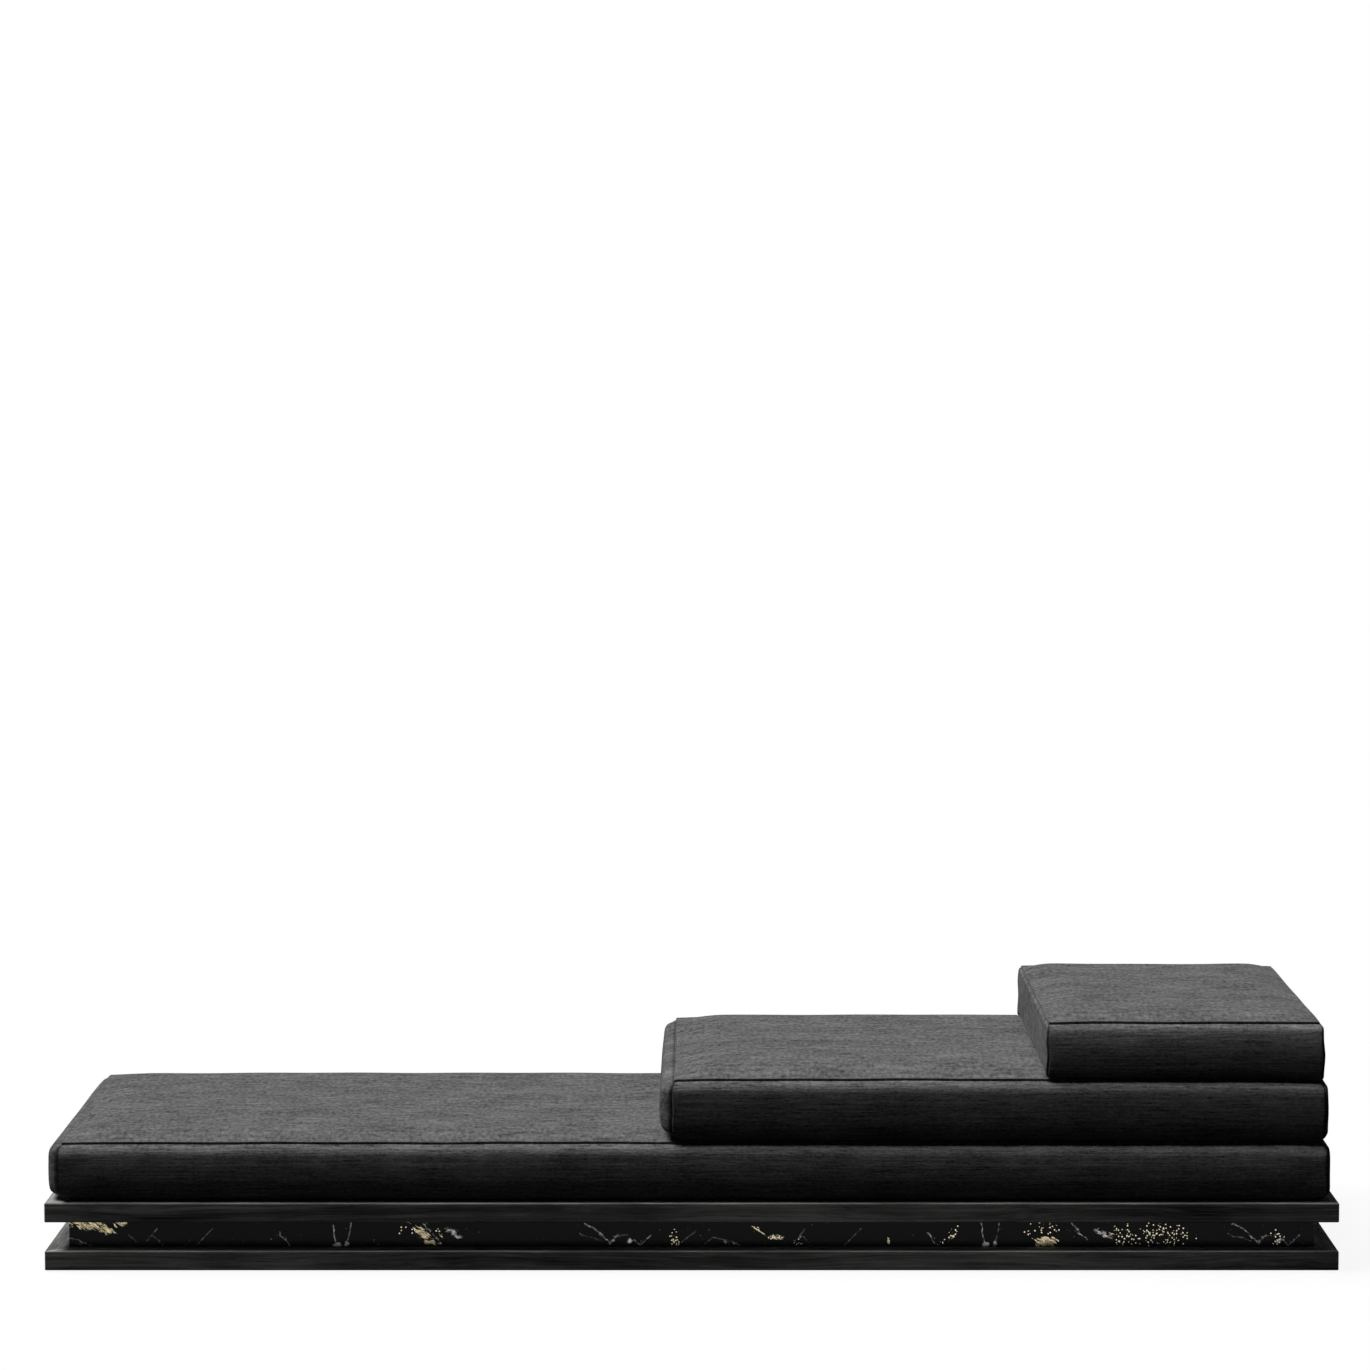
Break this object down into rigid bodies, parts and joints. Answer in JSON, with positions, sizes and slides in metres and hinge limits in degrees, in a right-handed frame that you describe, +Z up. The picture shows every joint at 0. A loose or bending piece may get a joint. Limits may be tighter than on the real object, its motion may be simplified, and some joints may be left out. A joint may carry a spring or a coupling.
{
  "type": "chaise longue",
  "caption": "Low platform chaise longue: dark timber decks above and below a recessed marble band, with loose box cushions stacked in steps towards one end.",
  "frame": {"origin": "on the floor, under the middle of the decks", "axes": "+X along the seat towards the raised end, -Y the front, +Z up"},
  "size_m": [2.4, 0.8, 0.4689],
  "materials": {
    "stained_oak": "black-stained oak, fine open grain, satin",
    "plywood": "birch plywood, sanded",
    "beam_pine": "planed pine",
    "dowel_beech": "beech, smooth",
    "marble": "polished black marble with white and gold veins",
    "charcoal_fabric": "charcoal woven upholstery cloth with slubs",
    "foam": "open-cell seat foam",
    "zip_nylon": "black nylon coil zip on woven tape",
    "zip_metal": "black enamelled zinc",
    "zinc_steel": "zinc-plated steel",
    "insert_brass": "turned brass",
    "glide_felt": "dense black felt"
  },
  "bodies": {
    "base": {"lower_front_rail": "stained_oak", "lower_right_rail": "stained_oak", "lower_rear_rail": "stained_oak", "lower_left_rail": "stained_oak", "lower_board": "plywood", "upper_front_rail": "stained_oak", "upper_right_rail": "stained_oak", "upper_rear_rail": "stained_oak", "upper_left_rail": "stained_oak", "upper_board": "plywood", "corner_tenons": "dowel_beech", "board_screws": "zinc_steel", "marble_left_end": "marble", "marble_right_end": "marble", "marble_front_left": "marble", "marble_front_right": "marble", "marble_rear_left": "marble", "marble_rear_right": "marble", "plinth_front_beam": "beam_pine", "plinth_rear_beam": "beam_pine", "plinth_left_beam": "beam_pine", "plinth_right_beam": "beam_pine", "plinth_cross_beam_1": "beam_pine", "plinth_cross_beam_2": "beam_pine", "plinth_cross_beam_3": "beam_pine", "plinth_dowels": "dowel_beech", "tie_bolts": "zinc_steel", "tie_washers": "zinc_steel", "tie_inserts": "insert_brass", "floor_glides": "glide_felt"},
    "long_cushion": {"long_cushion_top_panel": "charcoal_fabric", "long_cushion_front_panel": "charcoal_fabric", "long_cushion_rear_panel": "charcoal_fabric", "long_cushion_end_panels": "charcoal_fabric", "long_cushion_bottom_panel": "charcoal_fabric", "long_cushion_piping": "charcoal_fabric", "long_cushion_foam_core": "foam", "long_cushion_zip_chain": "zip_nylon"},
    "long_zip_slider": {"long_cushion_zip_slider": "zip_metal"},
    "long_zip_pull": {"long_cushion_zip_pull": "zip_metal"},
    "middle_cushion": {"middle_cushion_top_panel": "charcoal_fabric", "middle_cushion_front_panel": "charcoal_fabric", "middle_cushion_rear_panel": "charcoal_fabric", "middle_cushion_end_panels": "charcoal_fabric", "middle_cushion_bottom_panel": "charcoal_fabric", "middle_cushion_piping": "charcoal_fabric", "middle_cushion_foam_core": "foam", "middle_cushion_zip_chain": "zip_nylon"},
    "middle_zip_slider": {"middle_cushion_zip_slider": "zip_metal"},
    "middle_zip_pull": {"middle_cushion_zip_pull": "zip_metal"},
    "short_cushion": {"short_cushion_top_panel": "charcoal_fabric", "short_cushion_front_panel": "charcoal_fabric", "short_cushion_rear_panel": "charcoal_fabric", "short_cushion_end_panels": "charcoal_fabric", "short_cushion_bottom_panel": "charcoal_fabric", "short_cushion_piping": "charcoal_fabric", "short_cushion_foam_core": "foam", "short_cushion_zip_chain": "zip_nylon"},
    "short_zip_slider": {"short_cushion_zip_slider": "zip_metal"},
    "short_zip_pull": {"short_cushion_zip_pull": "zip_metal"}
  },
  "joints": [
    {"name": "long_cushion_lift", "type": "slide", "parent": "base", "child": "long_cushion", "axis": [0, 0, 1], "range_m": [0, 0.25]},
    {"name": "long_zip_run", "type": "slide", "parent": "long_cushion", "child": "long_zip_slider", "axis": [1, 0, 0], "range_m": [0, 2.156]},
    {"name": "long_zip_pull_swing", "type": "hinge", "parent": "long_zip_slider", "child": "long_zip_pull", "pos_m": [-1.082, 0.3957, 0.1873], "axis": [1, 0, 0], "range_deg": [0, 165]},
    {"name": "middle_cushion_lift", "type": "slide", "parent": "long_cushion", "child": "middle_cushion", "axis": [0, 0, 1], "range_m": [0, 0.25]},
    {"name": "middle_zip_run", "type": "slide", "parent": "middle_cushion", "child": "middle_zip_slider", "axis": [1, 0, 0], "range_m": [0, 1.008]},
    {"name": "middle_zip_pull_swing", "type": "hinge", "parent": "middle_zip_slider", "child": "middle_zip_pull", "pos_m": [0.058, 0.3957, 0.3046], "axis": [1, 0, 0], "range_deg": [0, 165]},
    {"name": "short_cushion_lift", "type": "slide", "parent": "middle_cushion", "child": "short_cushion", "axis": [0, 0, 1], "range_m": [0, 0.25]},
    {"name": "short_zip_run", "type": "slide", "parent": "short_cushion", "child": "short_zip_slider", "axis": [1, 0, 0], "range_m": [0, 0.3]},
    {"name": "short_zip_pull_swing", "type": "hinge", "parent": "short_zip_slider", "child": "short_zip_pull", "pos_m": [0.765, 0.3907, 0.4159], "axis": [1, 0, 0], "range_deg": [0, 165]}
  ]
}
